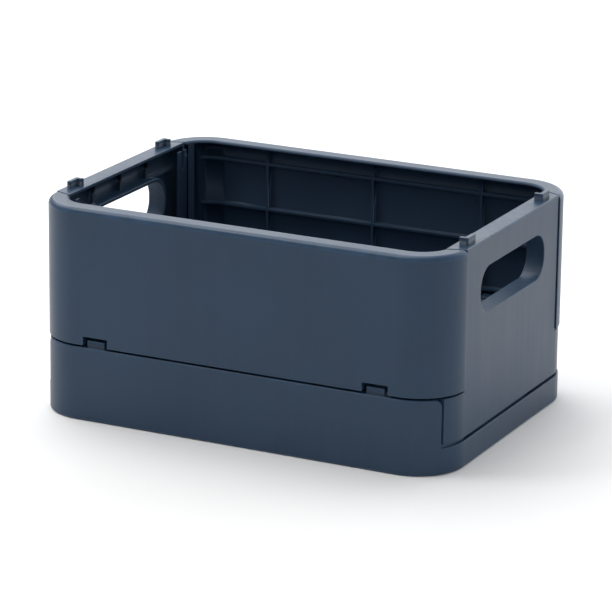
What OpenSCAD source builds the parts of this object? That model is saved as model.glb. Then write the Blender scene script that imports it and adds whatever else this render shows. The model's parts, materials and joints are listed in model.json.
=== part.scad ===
// Folding crate: a base tray, four walls that fold down over it, and the pins that they turn on.
// Length lies along X and width along Y. The origin is the middle of the underside.
// The end walls fold in first, then the front and back walls fold down over them.

/* [Crate] */
// Length over the base, along X
crate_l = 360; // [352:2:380]
// Width over the base, along Y
crate_w = 260; // [258:2:280]
// Height of the rim above the ground
crate_h = 174; // [166:1:176]
// Outside radius of the upright corners
corner_r = 40; // [38:0.5:42]
// Thickness of a moulded skin or rib
skin_t = 3; // [2.6:0.1:3.2]
// Depth of a stiffening rib, with its skin
rib_d = 8.5; // [7:0.5:9]
// Thickness of the rim's flange
rim_t = 2.8; // [2.4:0.1:4]

/* [Base tray] */
// Height of the long sides
side_top = 60.8; // [58:0.2:62]
// Height of the low ends
end_top = 21.5; // [20.5:0.5:22]
// Depth of the long sides, from outside to inside
side_d = 15.5; // [15:0.5:16]
// Height of the floor's top face
floor_top = 14; // [13:0.5:14]
// Radius of the rounded top corners of the long sides
side_corner_r = 6; // [4:1:7]

/* [Front and back walls] */
// Depth of the rim, from outside to inside
side_rim_d = 17; // [16.5:0.5:17.5]
// Gap under the wall, seen as a seam
side_seam = 1.6; // [1.2:0.1:1.8]
// Distance of the hinge windows from the middle
window_x = 122; // [112:1:124]
// Width of a hinge window
window_w = 21.6; // [21:0.2:23]
// Height of a hinge window
window_h = 7.2; // [6.4:0.1:7.6]
// Distance of the upright ribs from the middle
side_rib_x = 97.8; // [90:0.2:98]

/* [End walls] */
// Depth of the rim and of the hand hole's tunnel
end_rim_d = 15.5; // [15:0.5:16]
// Gap under the wall, seen as a seam
end_seam = 2; // [1.8:0.1:2.2]
// How far the wall stands in from the base's outside
end_inset = 1; // [0.8:0.1:1.2]
// Width of the hand hole
hole_w = 125; // [100:1:128]
// Height of the hand hole
hole_h = 37; // [34:1:40]
// Height of the hand hole's middle above the ground
hole_z = 132.5; // [130:0.5:133]
// Radius of the hand hole's corners
hole_r = 17; // [12:0.5:17]
// Distance of the hinges from the middle
end_hinge_y = 60; // [52:1:64]

/* [Stacking lugs] */
// Height of a lug above the rim
lug_h = 6; // [4:0.5:6.5]
// Length of a lug along the rim
lug_l = 15.4; // [14:0.2:18]
// Width of a lug across the rim
lug_w = 7.8; // [7:0.2:9]
// Thickness of a lug's two arms
lug_t = 3.8; // [3:0.2:4]
// Distance of a lug's middle from the middle of the wall
lug_y = 73; // [72:1:74]

/* [Hinge pins] */
// Radius of a pin
pin_r = 2; // [1.6:0.1:2.1]
// Radial clearance between a pin and a wall's bore
pin_fit = 0.05; // [0.04:0.01:0.1]

/* [Hidden] */
$fn = 64;
shell_color = [0.16, 0.20, 0.27];
pin_color = [0.12, 0.15, 0.20];
// Extra length that takes a cut past the face it opens
cut = 1;

// Long walls. Their rim and sill end at side_in, and the parts that wrap round the corners at return_in.
side_bottom = side_top + side_seam;
side_in = crate_w / 2 - side_rim_d;
return_in = crate_l / 2 - 16;
rim_z = crate_h - rim_t;
sill_z = side_bottom + 4;
side_rib_z = [crate_h - 15.6, crate_h - 54.8, crate_h - 96];
corner_rib_x = crate_l / 2 - 20;
// Relief under the wrapped ends, and the seat between the windows that carries the wall on the base
relief_x = crate_l / 2 - 6.5;
relief_y = side_in - 9;
relief_z = side_bottom + 2.8;
seat_y = [6 - crate_w / 2, -side_in - 2];
seat_z = side_top + 0.2;
// The upright seam between a long wall and an end wall leans, so that the end wall is wider inside.
seam_y = crate_w / 2 - corner_r + 0.4;
seam_slope = 0.4;
seam_gap = 1;

// Long wall hinges: the pin lies inboard of the wall, so that the wall clears the base as it folds.
side_pin_y = crate_w / 2 - 20.5;
side_pin_z = side_top + 5.2;
side_knuckle_r = 4.2;
window_top = side_bottom + window_h;
window_back = 9 - side_in;
lintel_z = window_top + skin_t;
side_lug_w = 15.6;
side_lug_y = crate_w / 2 - 1.8;
jamb_w = 9;
side_pin_l = window_w + 2 * jamb_w;

// End walls. The wide part below the shoulder fits between the base's long sides.
end_out = crate_l / 2 - end_inset;
end_in = end_out - end_rim_d;
end_bottom = end_top + end_seam;
hem_z = end_bottom + 7.5;
shoulder_z = side_top - 0.2;
post_y = crate_w / 2 - side_d;
shoulder_y = post_y - 3;
end_rib_y = [-44, 0, 44];
end_rib_z = [hole_z - hole_h / 2 - 20, hole_z + hole_h / 2 + skin_t];
lug_out = end_out - 4;
lug_r = 1.5;

// Flange down each side of an end wall. It lies behind the long wall and stops the end wall at upright.
flange_y = [82.5, 98];
flange_t = 1.7;
flange_z = [sill_z + 1, rim_z - 3];
slot_w = 4;
slot_h = 16;
slot_r = 1.8;
knob_r = 2.4;
knob_h = 0.8;

// End wall hinges
end_pin_x = end_out - 6;
end_pin_z = end_bottom + 2.7;
end_knuckle_r = 3.2;
end_knuckle_w = 18;
pocket_w = end_knuckle_w + 3;
pocket_r = end_knuckle_r + 0.4;
hem_relief_y = 98;
hem_relief_x = end_pin_x - 3.5;
end_pin_l = pocket_w + 17;

// Base tray
floor_z = floor_top - skin_t;
base_rib_t = 2.4;
base_rib_x = [for (i = [-4.5:1:4.5]) i * crate_l / 11];
base_rib_y = [for (i = [-3:1:3]) i * crate_w / 8];
side_web_x = [for (i = [-4:1:4]) i * 33];
pad_w = 60;
post_x = crate_l / 2 - 20;
post_l = 48;
side_web_y = crate_w / 2 - side_d / 2 + 0.7;
side_web_w = side_d - 1.6;
socket_gap = 1.2;
socket_wall = 4;
socket_d = lug_h + 1.5;

// A rounded rectangle centred on the origin, with true arcs at its corners.
module rounded_rect(l, w, r) {
    square([l - 2 * r, w], center = true);
    square([l, w - 2 * r], center = true);
    for (sx = [-1, 1], sy = [-1, 1])
        translate([sx * (l / 2 - r), sy * (w / 2 - r)])
            circle(r);
}

// The crate's outline, drawn in by inset, as a solid from z0 to z1.
module slab(inset, z0, z1) {
    translate([0, 0, z0])
        linear_extrude(z1 - z0)
            rounded_rect(crate_l - 2 * inset, crate_w - 2 * inset, corner_r - inset);
}

// A band of the outline between two insets.
module band(outer, inner, z0, z1) {
    difference() {
        slab(outer, z0, z1);
        slab(inner, z0 - cut, z1 + cut);
    }
}

// A box from one corner to the opposite one.
module box(low, high) {
    translate(low)
        cube(high - low);
}

// A flat shape drawn in Y and Z, and extruded along X about x.
module along_x(x, length) {
    translate([x - length / 2, 0, 0])
        rotate([90, 0, 90])
            linear_extrude(length)
                children();
}

// A flat shape drawn in X and Z, and extruded along Y about y.
module along_y(y, length) {
    translate([0, y + length / 2, 0])
        rotate([90, 0, 0])
            linear_extrude(length)
                children();
}

// Half-width of the leaning seam at a distance x from the middle, moved in by gap.
function seam_at(x, gap) = seam_y - gap + seam_slope * (crate_l / 2 - x);

// ---- Front and back walls ----

// A full-depth flange of a long wall: its rim or its sill.
module side_flange(z0, z1) {
    difference() {
        slab(0, z0, z1);
        translate([0, 0, z0 - cut])
            linear_extrude(z1 - z0 + 2 * cut)
                rounded_rect(2 * return_in, 2 * side_in, corner_r - (crate_l / 2 - return_in));
    }
}

// Plan of the space that the front wall may fill, up to the leaning seams.
module front_wall_plan() {
    far = crate_l / 2 + 10;
    near = crate_l / 2 - 30;
    polygon([
        [-far, -crate_w], [far, -crate_w],
        [far, -seam_at(far, 0)], [near, -seam_at(near, 0)],
        [-near, -seam_at(near, 0)], [-far, -seam_at(far, 0)]
    ]);
}

// The full-depth web along one leaning seam, at the end of a wrapped corner.
module seam_web() {
    out = crate_l / 2;
    web = skin_t + 0.5;
    intersection() {
        slab(0, side_bottom, crate_h);
        translate([0, 0, side_bottom])
            linear_extrude(crate_h - side_bottom)
                polygon([
                    [return_in, -seam_at(return_in, 0)], [out, -seam_at(out, 0)],
                    [out, -seam_at(out, 0) - web], [return_in, -seam_at(return_in, 0) - web]
                ]);
    }
}

module side_upright(x, depth) {
    intersection() {
        slab(0, side_bottom, crate_h);
        box([x - skin_t / 2, -crate_w / 2, side_bottom], [x + skin_t / 2, depth - crate_w / 2, crate_h]);
    }
}

// The block round a hinge window, with the wall's two knuckles.
module hinge_frame() {
    box([-side_pin_l / 2, cut - crate_w / 2, side_bottom], [side_pin_l / 2, -side_in, lintel_z]);
    along_x(0, side_pin_l) {
        translate([-side_pin_y, side_pin_z])
            circle(side_knuckle_r);
        translate([-side_in - cut, side_bottom])
            square([side_in + cut - side_pin_y, side_pin_z + side_knuckle_r - side_bottom]);
    }
}

module hinge_window() {
    box([-window_w / 2, -crate_w / 2 - cut, side_bottom - cut], [window_w / 2, window_back, window_top]);
    box([-window_w / 2, -side_in, side_bottom - cut], [window_w / 2, window_back, lintel_z]);
    along_x(0, side_pin_l + 2 * cut)
        translate([-side_pin_y, side_pin_z])
            circle(pin_r + pin_fit);
}

module long_wall() {
    difference() {
        union() {
            intersection() {
                union() {
                    band(0, skin_t, side_bottom, crate_h);
                    side_flange(side_bottom, sill_z);
                    side_flange(rim_z, crate_h);
                    for (z = side_rib_z)
                        band(0, rib_d, z - skin_t, z);
                }
                translate([0, 0, side_bottom])
                    linear_extrude(crate_h - side_bottom)
                        front_wall_plan();
            }
            for (x = [-side_rib_x, 0, side_rib_x])
                side_upright(x, rib_d);
            for (x = [-corner_rib_x, corner_rib_x])
                intersection() {
                    side_flange(side_bottom, crate_h);
                    box([x - skin_t / 2, -crate_w, side_bottom], [x + skin_t / 2, 0, crate_h]);
                }
            for (s = [0, 1])
                mirror([s, 0, 0])
                    seam_web();
            for (x = [-window_x, window_x])
                translate([x, 0, 0])
                    hinge_frame();
        }
        for (x = [-window_x, window_x])
            translate([x, 0, 0])
                hinge_window();
        // Hidden relief that the end wall's shoulder swings through.
        for (s = [0, 1])
            mirror([s, 0, 0])
                box([return_in - cut, -relief_y, side_bottom - cut], [relief_x, 0, relief_z]);
    }
    // Seat that carries the wall on the base's top.
    box([-window_x + side_pin_l / 2, seat_y[0], seat_z],
        [window_x - side_pin_l / 2, seat_y[1], side_bottom + cut]);
}

module front_wall() {
    color(shell_color)
        long_wall();
}

module back_wall() {
    color(shell_color)
        rotate([0, 0, 180])
            long_wall();
}

// ---- End walls ----

// A band of an end wall from its outside in to depth.
module end_band(depth, z0, z1) {
    difference() {
        slab(end_inset, z0, z1);
        box([-crate_l, -crate_w, z0 - cut], [end_out - depth, crate_w, z1 + cut]);
    }
}

module end_skin(z0, z1) {
    difference() {
        slab(end_inset, z0, z1);
        slab(end_inset + skin_t, z0 - cut, z1 + cut);
        box([-crate_l, -crate_w, z0 - cut], [end_in, crate_w, z1 + cut]);
    }
}

// Plan of the end wall above its shoulder, drawn in by gap from the leaning seams.
module end_wall_plan(gap) {
    far = crate_l / 2 + 10;
    near = end_in - 10;
    polygon([
        [near, -seam_at(near, gap)], [far, -seam_at(far, gap)],
        [far, seam_at(far, gap)], [near, seam_at(near, gap)]
    ]);
}

// The end wall's whole outline as a solid, drawn in by edge all round its sides.
module end_wall_form(edge) {
    translate([0, 0, end_bottom - cut])
        linear_extrude(crate_h - end_bottom + 2 * cut)
            end_wall_plan(seam_gap + edge);
    box([end_in - 10, edge - shoulder_y, end_bottom - cut], [crate_l, shoulder_y - edge, shoulder_z - edge]);
}

module hand_hole(grow, x0, x1) {
    translate([x0, 0, hole_z])
        rotate([90, 0, 90])
            linear_extrude(x1 - x0)
                rounded_rect(hole_w + 2 * grow, hole_h + 2 * grow, hole_r + grow);
}

// An L-shaped lug: one arm along the wall's outside, one across its rim.
module stacking_lug(y) {
    translate([lug_out, y, crate_h - cut])
        linear_extrude(lug_h + cut) {
            translate([-lug_t / 2, 0])
                rounded_rect(lug_t, lug_l, lug_r);
            translate([-lug_w / 2, (lug_t - lug_l) / 2])
                rounded_rect(lug_w, lug_t, lug_r);
        }
}

// The flange at the +Y side. A slot at its top leaves a spring tongue with a round knob.
module side_stop() {
    slot_y = flange_y[1] - 2 * knob_r - slot_w / 2;
    difference() {
        box([end_in - flange_t, flange_y[0], flange_z[0]], [end_in + 0.2, flange_y[1], flange_z[1]]);
        along_x(end_in, 2 * flange_t + 2 * cut)
            translate([slot_y, flange_z[1]])
                rounded_rect(slot_w, 2 * slot_h, slot_r);
    }
    along_x(end_in - flange_t, 2 * knob_h)
        translate([flange_y[1] - knob_r, flange_z[1] - 2.5 * knob_r])
            circle(knob_r);
}

module end_wall() {
    difference() {
        union() {
            intersection() {
                union() {
                    end_skin(end_bottom, crate_h);
                    end_band(end_rim_d, end_bottom, hem_z);
                    end_band(end_rim_d, rim_z, crate_h);
                    difference() {
                        end_band(end_rim_d, end_bottom, crate_h);
                        end_wall_form(skin_t);
                    }
                    for (y = end_rib_y)
                        intersection() {
                            end_band(rib_d, end_bottom, crate_h);
                            box([0, y - skin_t / 2, 0], [crate_l, y + skin_t / 2, crate_h]);
                        }
                    for (z = end_rib_z)
                        end_band(rib_d, z - skin_t, z);
                }
                end_wall_form(0);
            }
            hand_hole(skin_t, end_in, end_out - skin_t / 2);
            for (s = [0, 1])
                mirror([0, s, 0])
                    side_stop();
        }
        hand_hole(0, end_in - cut, end_out + cut);
        // Hidden relief that lets the hem swing past the base's rounded corners.
        for (s = [0, 1])
            mirror([0, s, 0])
                box([end_in - cut, hem_relief_y, end_bottom - cut], [hem_relief_x, crate_w / 2, hem_z]);
        for (side = [-1, 1])
            translate([0, side * end_hinge_y, 0]) {
                box([end_in - cut, -pocket_w / 2, end_bottom - cut],
                    [end_pin_x + pocket_r, pocket_w / 2, end_pin_z + pocket_r]);
                along_y(0, end_pin_l + 0.4)
                    translate([end_pin_x, end_pin_z])
                        circle(pin_r + pin_fit);
            }
    }
    for (side = [-1, 1])
        stacking_lug(side * lug_y);
}

module right_end_wall() {
    color(shell_color)
        end_wall();
}

module left_end_wall() {
    color(shell_color)
        rotate([0, 0, 180])
            end_wall();
}

// ---- Base tray ----

// Everything that the base may fill: its low ends and floor, and the two taller long sides.
module base_space() {
    slab(0, 0, end_top);
    difference() {
        slab(0, 0, side_top);
        box([-crate_l, -post_y, floor_top], [crate_l, post_y, crate_h]);
        for (sx = [0, 1])
            mirror([sx, 0, 0])
                side_corner_cut();
    }
}

// The waste outside the rounded top corners at one end of the long sides.
module side_corner_cut() {
    end_x = crate_l / 2 - corner_r + sqrt(corner_r * corner_r - pow(post_y - crate_w / 2 + corner_r, 2));
    difference() {
        box([end_x - side_corner_r, -crate_w, side_top - side_corner_r], [crate_l, crate_w, crate_h]);
        along_y(0, 3 * crate_w)
            translate([end_x - side_corner_r, side_top - side_corner_r])
                circle(side_corner_r);
    }
}

// Knuckle that shows in a hinge window, on a bracket from the long side.
module side_knuckle(x) {
    along_x(x, side_lug_w) {
        translate([side_pin_y, side_pin_z])
            circle(side_knuckle_r);
        translate([side_pin_y, side_top - cut])
            square([side_lug_y - side_pin_y, side_pin_z + 0.8 - side_top + cut]);
        polygon([
            [side_pin_y - side_knuckle_r, side_pin_z], [side_pin_y - side_knuckle_r, side_top - 4],
            [post_y + cut, side_top - 16], [post_y + cut, side_pin_z]
        ]);
    }
}

// Knuckle that stands on the floor inside a low end.
module end_knuckle(y) {
    along_y(y, end_knuckle_w) {
        translate([end_pin_x, end_pin_z])
            circle(end_knuckle_r);
        translate([end_pin_x - end_knuckle_r, floor_z])
            square([2 * end_knuckle_r, end_pin_z - floor_z]);
        translate([end_pin_x - end_knuckle_r, floor_z])
            square([crate_l / 2 - cut - end_pin_x + end_knuckle_r, end_top - floor_z]);
    }
}

// Ribs under the floor, the pad in their middle and the blocks round the stacking sockets.
module underside() {
    intersection() {
        slab(skin_t / 2, 0, floor_z + cut);
        union() {
            for (x = base_rib_x)
                box([x - base_rib_t / 2, -crate_w, 0], [x + base_rib_t / 2, crate_w, floor_z + cut]);
            for (y = base_rib_y)
                box([-crate_l, y - base_rib_t / 2, 0], [crate_l, y + base_rib_t / 2, floor_z + cut]);
            box([-pad_w / 2, -pad_w / 2, 0], [pad_w / 2, pad_w / 2, floor_z + cut]);
            for (sx = [-1, 1], sy = [-1, 1])
                translate([sx * (lug_out - lug_w / 2), sy * lug_y, (floor_z + cut) / 2])
                    cube([lug_w + 2 * socket_wall, lug_l + 2 * socket_wall, floor_z + cut], center = true);
        }
    }
}

module base_tray() {
    color(shell_color)
        difference() {
            union() {
                intersection() {
                    union() {
                        band(0, skin_t, 0, side_top);
                        slab(0, floor_z, floor_top);
                        slab(0, side_top - skin_t, side_top);
                        for (sx = [-1, 1], sy = [-1, 1])
                            translate([sx * post_x, sy * (post_y + skin_t / 2), side_top / 2])
                                cube([post_l, skin_t, side_top], center = true);
                        for (x = side_web_x, sy = [-1, 1])
                            translate([x, sy * side_web_y, side_top / 2])
                                cube([base_rib_t, side_web_w, side_top], center = true);
                    }
                    base_space();
                }
                underside();
                for (x = [-window_x, window_x], s = [0, 1])
                    mirror([0, s, 0])
                        side_knuckle(x);
                for (y = [-end_hinge_y, end_hinge_y], s = [0, 1])
                    mirror([s, 0, 0])
                        end_knuckle(y);
            }
            for (sx = [-1, 1], sy = [-1, 1])
                translate([sx * (lug_out - lug_w / 2), sy * lug_y, 0])
                    cube([lug_w + 2 * socket_gap, lug_l + 2 * socket_gap, 2 * socket_d], center = true);
            for (x = [-window_x, window_x], sy = [-1, 1])
                along_x(x, side_lug_w + 2 * cut)
                    translate([sy * side_pin_y, side_pin_z])
                        circle(pin_r);
            for (y = [-end_hinge_y, end_hinge_y], sx = [-1, 1])
                along_y(y, end_knuckle_w + 2 * cut)
                    translate([sx * end_pin_x, end_pin_z])
                        circle(pin_r);
        }
}

// ---- Hinge pins ----

// A pin along Z, centred on the origin, with a small chamfer at each end.
module pin(length) {
    chamfer = 0.5;
    color(pin_color)
        rotate_extrude()
            polygon([
                [0, -length / 2], [pin_r - chamfer, -length / 2], [pin_r, chamfer - length / 2],
                [pin_r, length / 2 - chamfer], [pin_r - chamfer, length / 2], [0, length / 2]
            ]);
}

module side_pin(x, y) {
    translate([x, y, side_pin_z])
        rotate([0, 90, 0])
            pin(side_pin_l);
}

module end_pin(x, y) {
    translate([x, y, end_pin_z])
        rotate([90, 0, 0])
            pin(end_pin_l);
}

base_tray();
front_wall();
back_wall();
right_end_wall();
left_end_wall();
side_pin(-window_x, -side_pin_y);  // front_left_pin
side_pin(window_x, -side_pin_y);  // front_right_pin
side_pin(-window_x, side_pin_y);  // back_left_pin
side_pin(window_x, side_pin_y);  // back_right_pin
end_pin(end_pin_x, -end_hinge_y);  // right_front_pin
end_pin(end_pin_x, end_hinge_y);  // right_back_pin
end_pin(-end_pin_x, -end_hinge_y);  // left_front_pin
end_pin(-end_pin_x, end_hinge_y);  // left_back_pin
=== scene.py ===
"""Looks of the folding crate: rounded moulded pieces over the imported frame, plastics, light and camera."""

import json
import math

import bmesh
import bpy
from mathutils import Matrix, Vector
from mathutils.bvhtree import BVHTree

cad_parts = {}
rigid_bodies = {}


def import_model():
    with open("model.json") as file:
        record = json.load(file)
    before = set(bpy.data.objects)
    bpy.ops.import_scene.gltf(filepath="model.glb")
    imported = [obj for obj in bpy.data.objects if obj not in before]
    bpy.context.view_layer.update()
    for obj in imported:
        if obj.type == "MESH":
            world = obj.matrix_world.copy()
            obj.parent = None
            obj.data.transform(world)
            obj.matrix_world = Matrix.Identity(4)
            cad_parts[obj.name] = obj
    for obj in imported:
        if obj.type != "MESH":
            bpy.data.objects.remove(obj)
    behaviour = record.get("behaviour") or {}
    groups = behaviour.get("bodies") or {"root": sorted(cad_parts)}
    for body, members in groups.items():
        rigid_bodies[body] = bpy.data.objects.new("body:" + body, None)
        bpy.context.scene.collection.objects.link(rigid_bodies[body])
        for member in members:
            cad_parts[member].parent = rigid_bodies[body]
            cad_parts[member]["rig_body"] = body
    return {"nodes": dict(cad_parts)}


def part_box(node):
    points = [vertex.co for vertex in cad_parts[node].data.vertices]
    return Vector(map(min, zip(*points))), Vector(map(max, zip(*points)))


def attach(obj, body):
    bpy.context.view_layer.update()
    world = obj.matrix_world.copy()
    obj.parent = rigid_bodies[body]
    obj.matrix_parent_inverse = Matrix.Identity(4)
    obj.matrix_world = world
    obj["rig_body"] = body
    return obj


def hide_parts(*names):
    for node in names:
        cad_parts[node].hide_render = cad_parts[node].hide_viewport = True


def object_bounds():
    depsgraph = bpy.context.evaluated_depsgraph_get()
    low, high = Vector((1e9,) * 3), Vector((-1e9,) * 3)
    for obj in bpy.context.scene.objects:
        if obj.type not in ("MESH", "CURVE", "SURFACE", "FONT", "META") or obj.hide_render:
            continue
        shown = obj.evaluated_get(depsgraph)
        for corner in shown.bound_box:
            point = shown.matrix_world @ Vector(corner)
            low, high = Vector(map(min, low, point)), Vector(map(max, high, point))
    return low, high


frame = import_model()
cad_low, cad_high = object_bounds()
centre = (cad_low + cad_high) / 2
scene = bpy.context.scene

# ---- Materials ----

BASE_COLOUR = (0.020, 0.045, 0.085)
PIN_COLOUR = (0.014, 0.030, 0.058)


class Nodes:
    """Short calls for building one node tree."""

    def __init__(self, tree):
        self.tree = tree
        self.tree.nodes.clear()

    def add(self, kind, **inputs):
        node = self.tree.nodes.new(kind)
        for name, value in inputs.items():
            self.set(node, name.replace("_", " "), value)
        return node

    def set(self, node, name, value):
        socket = node.inputs[name] if name in node.inputs else None
        if socket is None:
            setattr(node, name.replace(" ", "_"), value)
        elif isinstance(value, bpy.types.NodeSocket):
            self.tree.links.new(value, socket)
        else:
            socket.default_value = value

    def math(self, operation, a, b=0.0, clamp=False):
        node = self.tree.nodes.new("ShaderNodeMath")
        node.operation = operation
        node.use_clamp = clamp
        for socket, value in zip(node.inputs, (a, b)):
            if isinstance(value, bpy.types.NodeSocket):
                self.tree.links.new(value, socket)
            else:
                socket.default_value = value
        return node.outputs[0]

    def spread(self, value, low, high, to_low, to_high):
        node = self.tree.nodes.new("ShaderNodeMapRange")
        self.tree.links.new(value, node.inputs["Value"])
        for name, number in (("From Min", low), ("From Max", high), ("To Min", to_low), ("To Max", to_high)):
            node.inputs[name].default_value = number
        return node.outputs[0]

    def noise(self, where, scale, detail=2.0, stretch=(1.0, 1.0, 1.0)):
        mapping = self.add("ShaderNodeMapping", Vector=where, Scale=stretch)
        node = self.add("ShaderNodeTexNoise", Vector=mapping.outputs[0], Scale=scale, Detail=detail)
        return node.outputs["Fac"]

    def show(self, shader, kind="ShaderNodeOutputMaterial"):
        self.tree.links.new(shader.outputs[0], self.add(kind).inputs["Surface"])


def plastic(name, colour, roughness, streaks):
    """Moulded polypropylene: slight mottling, satin grain, faint flow streaks and smoother edges that are
    paler, partly from wear and partly from a painted highlight.
    """
    material = bpy.data.materials.new(name)
    material.use_nodes = True
    n = Nodes(material.node_tree)
    where = n.add("ShaderNodeTexCoord").outputs["Object"]
    edge = n.add("ShaderNodeAttribute", attribute_name="edge").outputs["Fac"]
    inside = n.add("ShaderNodeAttribute", attribute_name="inside").outputs["Fac"]

    mottle = n.noise(where, 14.0, 3.0)
    speck = n.noise(where, 420.0, 2.0)
    drag = n.noise(where, 1.0, 3.0, stretch=(190.0, 190.0, 5.0))
    scuff_and_highlight_noise = n.noise(where, 70.0, 4.0)

    tone = n.math("ADD", n.spread(mottle, 0.3, 0.7, 0.93, 1.07), n.spread(speck, 0.3, 0.7, -0.02, 0.02))
    tone = n.math("ADD", tone, n.spread(drag, 0.35, 0.65, -0.5 * streaks, 0.5 * streaks))
    # Rounded faces are lightened: partly wear, partly a painted highlight along the edges.
    wear_and_painted_highlight = n.math("MULTIPLY", edge, n.spread(scuff_and_highlight_noise, 0.35, 0.65, 0.10, 0.42))
    tone = n.math("ADD", tone, wear_and_painted_highlight)
    # Painted shade: faces that look inwards are darkened by up to 12%.
    tone = n.math("MULTIPLY", tone, n.spread(inside, 0.0, 1.0, 1.0, 0.88))
    tint = n.add("ShaderNodeVectorMath", operation="SCALE")
    tint.inputs[0].default_value = colour
    n.set(tint, "Scale", tone)

    gloss = n.spread(mottle, 0.3, 0.7, roughness - 0.03, roughness + 0.03)
    gloss = n.math("ADD", gloss, n.spread(drag, 0.35, 0.65, -0.3 * streaks, 0.3 * streaks))
    gloss = n.math("ADD", gloss, n.math("MULTIPLY", inside, 0.18))
    gloss = n.math("SUBTRACT", gloss, n.math("MULTIPLY", edge, 0.05), clamp=True)

    grain = n.noise(where, 1500.0, 2.0)
    wave = n.noise(where, 22.0, 1.0)
    fine = n.add("ShaderNodeBump", Strength=0.25, Distance=0.00006, Height=grain)
    broad = n.add("ShaderNodeBump", Strength=0.30, Distance=0.0010, Height=wave, Normal=fine.outputs[0])

    shader = n.add(
        "ShaderNodeBsdfPrincipled", Base_Color=tint.outputs[0], Roughness=gloss, Normal=broad.outputs[0],
        IOR=1.49, Specular_IOR_Level=0.3,
    )
    n.show(shader)
    return material


shell = plastic("shell_plastic", BASE_COLOUR, 0.37, 0.04)
end_shell = plastic("end_plastic", BASE_COLOUR, 0.37, 0.09)
pin_plastic = plastic("pin_plastic", PIN_COLOUR, 0.30, 0.02)

# ---- Pieces ----

FLAT = math.radians(0.8)  # facets that turn less than this are one face
CREASE = math.radians(28)  # edges that turn more than this are rounded
WELD = 2e-6  # vertices closer than this are one
ON_LEVEL = 1e-5  # a point this close to a height is at it
ON_SKIN = 2e-5  # a point this close to the CAD surface is on it
ON_OUTLINE = 2e-4  # a point this close to the crate's outline is on it
INWARD = -0.2  # a face that looks away from the outside by more than this is an inside face
FINE_STEPS, STEPS = 6, 3  # facets across a rounding
LONG_ROUNDING = 0.0008
OTHER_ROUNDING = 0.0007

RIM_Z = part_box("front_wall")[1].z
CORNER_R = 0.040  # of the crate's outline, seen from above
SIDE_TOP = 0.0608  # top of the base's long sides
END_TOP = 0.0215  # top of the base's ends
RIM_WIDTH = 0.012  # points of the rim further in than this are on its inner edge


def outline_gap(point):
    """How far a point lies inside the crate's rounded outline, seen from above."""
    half = (cad_high - cad_low) / 2
    reach_x = abs(point.x - centre.x) - (half.x - CORNER_R)
    reach_y = abs(point.y - centre.y) - (half.y - CORNER_R)
    if reach_x > 0 and reach_y > 0:
        return CORNER_R - math.hypot(reach_x, reach_y)
    return CORNER_R - max(reach_x, reach_y)


def rounded(node, name, material, first, radius, thin=None):
    """A copy of a CAD node with its edges rounded, which stands for the node.

    first is a list of (test of a point, radius): edges whose two ends pass are rounded before the rest.
    thin is a test of a point: edges whose two ends pass are too thin to round and stay sharp.
    """
    source = frame["nodes"][node]
    mesh = bmesh.new()
    mesh.from_mesh(source.data)
    bmesh.ops.remove_doubles(mesh, verts=mesh.verts, dist=WELD)
    bmesh.ops.dissolve_limit(
        mesh, angle_limit=FLAT, verts=mesh.verts, edges=mesh.edges, use_dissolve_boundaries=False,
    )
    skin = BVHTree.FromBMesh(mesh)
    rounding = mesh.loops.layers.float.new("edge")
    inner = mesh.loops.layers.float.new("inside")

    def turns(edge):
        return edge.calc_face_angle(0.0) > CREASE

    def creased(edge):
        return edge.smooth and len(edge.link_faces) == 2 and edge.is_convex and turns(edge)

    if thin:
        for edge in mesh.edges:
            edge.smooth = not (all(thin(v.co) for v in edge.verts) and turns(edge))

    def bevel(edges, size, count):
        made = bmesh.ops.bevel(
            mesh, geom=edges, offset=size, offset_type="OFFSET", segments=count, profile=0.5,
            affect="EDGES", clamp_overlap=False, miter_outer="SHARP", miter_inner="SHARP", loop_slide=True,
        )
        for face in made["faces"]:
            for loop in face.loops:
                loop[rounding] = 1.0

    for test, size in first:
        bevel([e for e in mesh.edges if creased(e) and all(test(v.co) for v in e.verts)], size, FINE_STEPS)
    bevel([e for e in mesh.edges if creased(e)], radius, STEPS)

    # Vertices that the rounding threw out of the CAD shape go back to its surface.
    deepest = 1.2 * max([radius] + [size for _, size in first])
    for vert in mesh.verts:
        spot, normal, _, gap = skin.find_nearest(vert.co)
        if gap > deepest or (gap > ON_SKIN and (vert.co - spot).dot(normal) > 0):
            vert.co = spot
    bmesh.ops.remove_doubles(mesh, verts=mesh.verts, dist=WELD)
    bmesh.ops.dissolve_degenerate(mesh, dist=WELD, edges=mesh.edges)

    for face in mesh.faces:
        outward = face.calc_center_median() - centre
        outward.z = 0
        if face.normal.dot(outward.normalized()) < INWARD:
            for loop in face.loops:
                loop[inner] = 1.0

    data = bpy.data.meshes.new(name)
    mesh.to_mesh(data)
    mesh.free()
    data.materials.append(material)
    data.shade_smooth()
    piece = bpy.data.objects.new(name, data)
    scene.collection.objects.link(piece)
    normals = piece.modifiers.new("normals", "WEIGHTED_NORMAL")
    normals.keep_sharp = True
    normals.weight = 100
    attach(piece, source["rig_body"])
    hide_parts(node)


def at(point, height):
    return abs(point.z - cad_low.z - height) < ON_LEVEL


def at_rim(point):
    return abs(point.z - RIM_Z) < ON_LEVEL


def on_outline(point):
    return outline_gap(point) < ON_OUTLINE


def rim_outside(point):
    return at_rim(point) and on_outline(point)


def rim_inside(point):
    return at_rim(point) and outline_gap(point) > RIM_WIDTH


def end_rim_outside(point):
    """The end walls stand 1 mm inside the outline."""
    return at_rim(point) and outline_gap(point) < 1.2e-3


def side_top_outside(point):
    return at(point, SIDE_TOP) and on_outline(point)


def end_top_outside(point):
    return at(point, END_TOP) and on_outline(point)


def foot_outside(point):
    return at(point, 0) and on_outline(point)


def end_hinge(point):
    """The end walls' knuckles and the blocks they turn in, whose edges lie close together."""
    height = point.z - cad_low.z
    return 0.160 < abs(point.x) < 0.179 and 0.045 < abs(point.y) < 0.075 and 0.004 < height < 0.036


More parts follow.
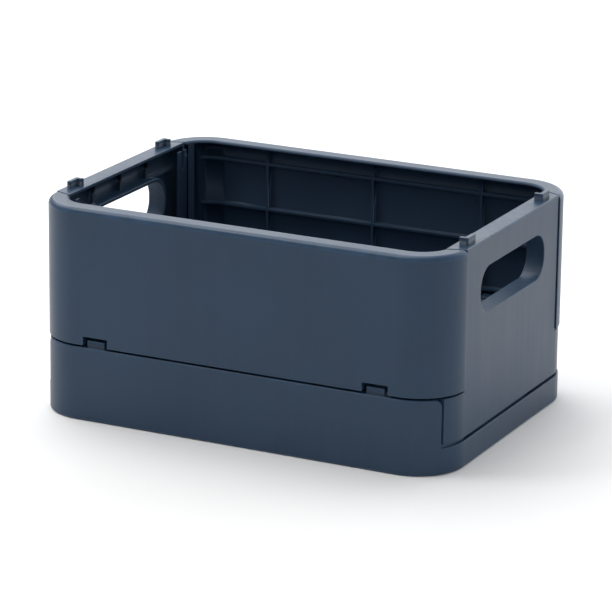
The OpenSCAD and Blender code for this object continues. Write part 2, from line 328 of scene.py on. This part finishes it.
def side_tip(point):
    """The thin outer edge at each end of the base's long sides."""
    in_reach = abs(point.x) > 0.1655 and 0.1144 < abs(point.y) < 0.1205
    return in_reach and outline_gap(point) < 3e-4 and point.z - cad_low.z > END_TOP - ON_LEVEL


base_edges = [
    (end_hinge, 0.0002),
    (foot_outside, 0.0018),
    (side_top_outside, 0.0012),
    (end_top_outside, 0.0004),
]
long_edges = [(rim_outside, 0.0046), (rim_inside, 0.0022)]
end_edges = [(end_hinge, 0.0002), (end_rim_outside, 0.0014)]
rounded("base_tray", "base_tray_shell", shell, base_edges, OTHER_ROUNDING, thin=side_tip)
for side in ("front", "back"):
    rounded(side + "_wall", side + "_wall_shell", shell, long_edges, LONG_ROUNDING)
for side in ("right", "left"):
    rounded(side + "_end_wall", side + "_end_shell", end_shell, end_edges, OTHER_ROUNDING)
for node_name, node_object in frame["nodes"].items():
    if node_name.endswith("_pin"):
        node_object.data.materials.clear()
        node_object.data.materials.append(pin_plastic)

# ---- Floor, light and camera ----


def paper():
    material = bpy.data.materials.new("pale_floor")
    material.use_nodes = True
    n = Nodes(material.node_tree)
    where = n.add("ShaderNodeTexCoord").outputs["Object"]
    cloud = n.spread(n.noise(where, 3.0, 2.0), 0.3, 0.7, 0.88, 0.90)
    tint = n.add("ShaderNodeCombineColor", Red=cloud, Green=cloud, Blue=cloud)
    n.show(n.add("ShaderNodeBsdfPrincipled", Base_Color=tint.outputs[0], Roughness=0.85))
    return material


def make_floor(size=9.0, steps=24):
    mesh = bmesh.new()
    bmesh.ops.create_grid(mesh, x_segments=steps, y_segments=steps, size=size)
    data = bpy.data.meshes.new("floor")
    mesh.to_mesh(data)
    mesh.free()
    floor = bpy.data.objects.new("floor", data)
    floor.location = (0, 0, cad_low.z - 0.0002)
    scene.collection.objects.link(floor)
    data.materials.append(paper())


def area_light(name, place, size, power, colour=(1.0, 1.0, 1.0)):
    light = bpy.data.lights.new(name, "AREA")
    light.shape = "RECTANGLE"
    light.size, light.size_y = size
    light.energy = power
    light.color = colour
    lamp = bpy.data.objects.new(name, light)
    lamp.location = Vector(place)
    lamp.visible_camera = False
    lamp.rotation_mode = "QUATERNION"
    lamp.rotation_quaternion = (centre - lamp.location).to_track_quat("-Z", "Y")
    scene.collection.objects.link(lamp)


make_floor()
# Each light: its place and size in metres, and its power in watts.
area_light("top_softbox", (-0.95, 0.40, 2.0), (2.0, 2.8), 42.0)
area_light("key_lamp", (-0.95, -0.64, 1.95), (0.45, 0.45), 8.0)
area_light("right_softbox", (2.2, 0.2, 0.9), (1.4, 1.2), 2.0)
area_light("back_panel", (0.2, 2.8, 1.4), (6.0, 3.0), 76.0, (0.93, 0.97, 1.0))

world = bpy.data.worlds.new("studio")
world.use_nodes = True
sky = Nodes(world.node_tree)
glow = sky.add("ShaderNodeBackground", Color=(1.0, 1.0, 1.0, 1.0), Strength=0.53)
sky.show(glow, "ShaderNodeOutputWorld")
scene.world = world
scene.view_settings.view_transform = "Standard"

AZIMUTH, ELEVATION, ROLL = (math.radians(a) for a in (26.136, 16.879, 0.689))
DISTANCE = 2.8265
aim = Vector((centre.x + 0.0103, centre.y - 0.0219, cad_low.z + 0.087))
reach = math.cos(ELEVATION)
back = Vector((math.sin(AZIMUTH) * reach, -math.cos(AZIMUTH) * reach, math.sin(ELEVATION)))
level = Vector((math.cos(AZIMUTH), math.sin(AZIMUTH), 0))
right = level * math.cos(ROLL) + back.cross(level) * math.sin(ROLL)
up = back.cross(right)
lens = bpy.data.cameras.new("camera")
lens.sensor_width = 36.0
lens.lens = 208.5
lens.clip_start, lens.clip_end = 0.1, 60.0
camera = bpy.data.objects.new("camera", lens)
camera.matrix_world = Matrix((right, up, back)).transposed().to_4x4()
camera.location = aim + back * DISTANCE
scene.collection.objects.link(camera)
scene.camera = camera
